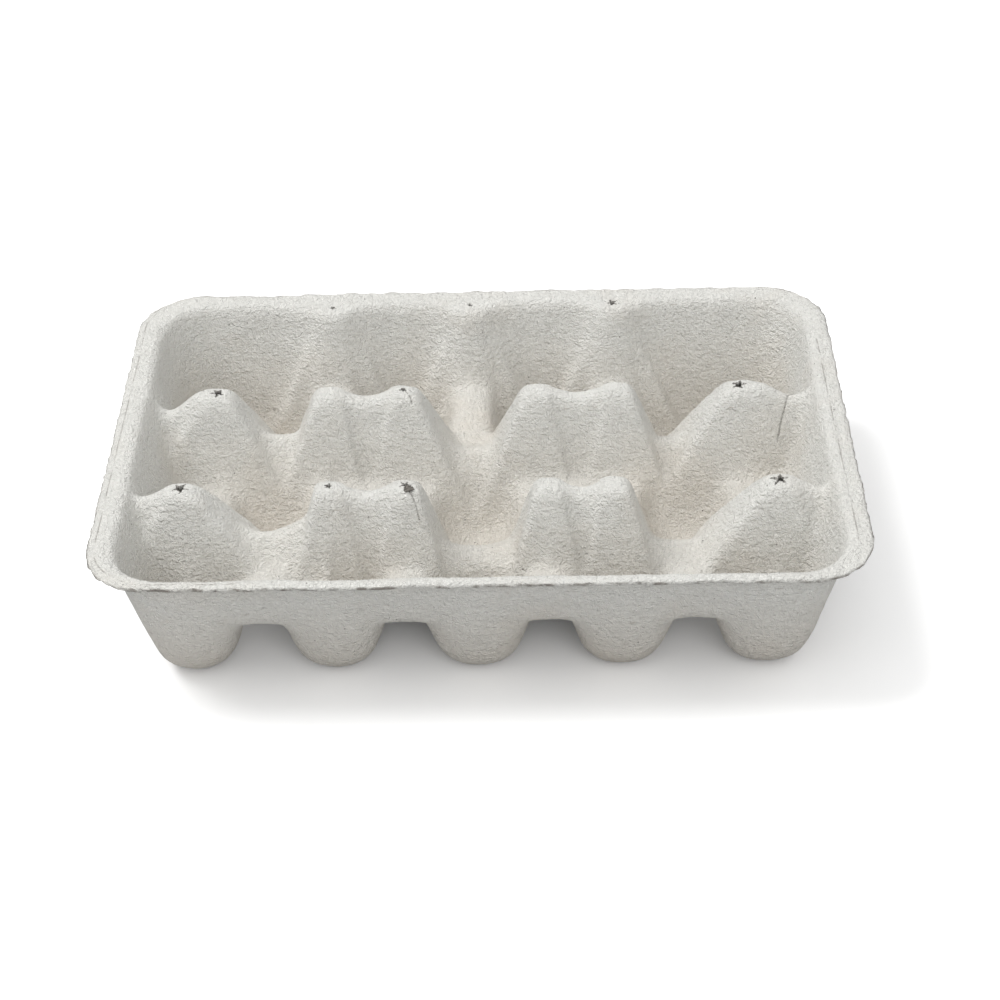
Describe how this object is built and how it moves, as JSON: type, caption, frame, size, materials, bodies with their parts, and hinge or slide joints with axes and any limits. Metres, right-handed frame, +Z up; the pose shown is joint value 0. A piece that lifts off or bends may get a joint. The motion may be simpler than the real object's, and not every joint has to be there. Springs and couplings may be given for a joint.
{
  "type": "moulded pulp egg tray",
  "caption": "Open moulded-pulp tray with staggered rows of egg cups, pyramid posts and a flat rounded rim.",
  "frame": {"origin": "on the table, under the middle of the rim's outline", "axes": "+X along the long side of the rim to the right, +Y from the five-lobed front wall to the back, +Z up"},
  "size_m": [0.254, 0.183, 0.051],
  "materials": {
    "pulp": "raw off-white moulded paper pulp, fibrous and dull"
  },
  "bodies": {
    "root": {"egg_tray": "pulp"}
  },
  "joints": []
}
